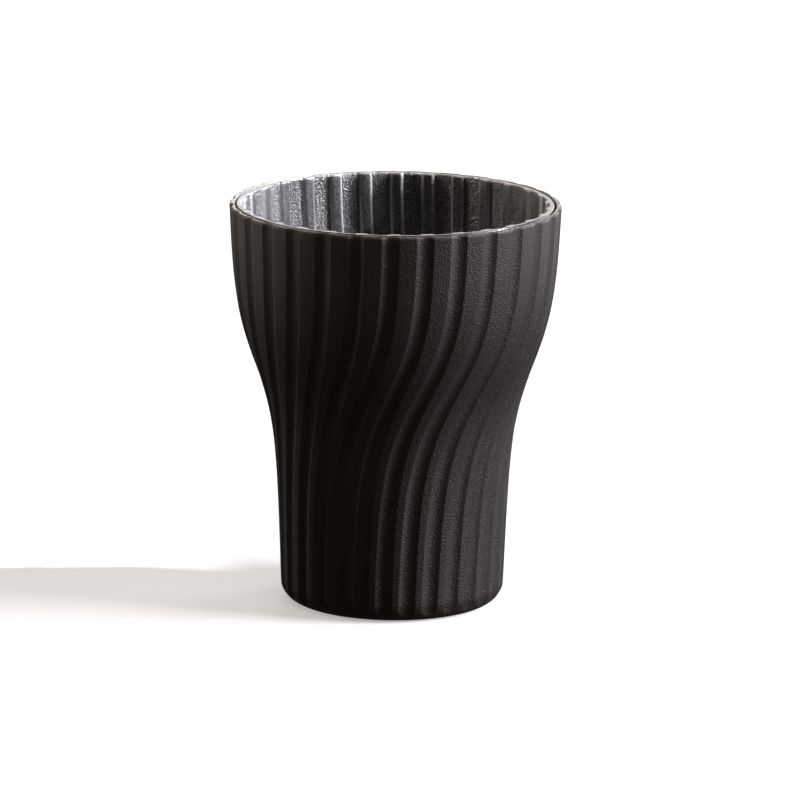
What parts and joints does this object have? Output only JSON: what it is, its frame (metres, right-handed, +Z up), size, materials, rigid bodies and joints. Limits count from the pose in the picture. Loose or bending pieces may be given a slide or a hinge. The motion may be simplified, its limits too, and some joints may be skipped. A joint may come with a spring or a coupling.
{
  "type": "empty candle jar",
  "caption": "Flared matte black candle jar with twisting grooves: an outer shell and a ridged liner that lifts out, empty and open at the top.",
  "frame": {"origin": "middle of the flat underside, on the jar's axis", "axes": "+Z up the jar's axis towards the mouth, -Y towards the viewer of the reference picture, +X to that viewer's right"},
  "size_m": [0.09, 0.09, 0.11],
  "materials": {
    "shell_black": "matte warm black with a fine grain",
    "liner_black": "opaque satin black with a faint metallic sparkle"
  },
  "bodies": {
    "shell": {"outer_shell": "shell_black"},
    "liner": {"inner_liner": "liner_black"}
  },
  "joints": [
    {"name": "liner_lift", "type": "slide", "parent": "shell", "child": "liner", "axis": [0, 0, 1], "range_m": [0, 0.112]}
  ]
}
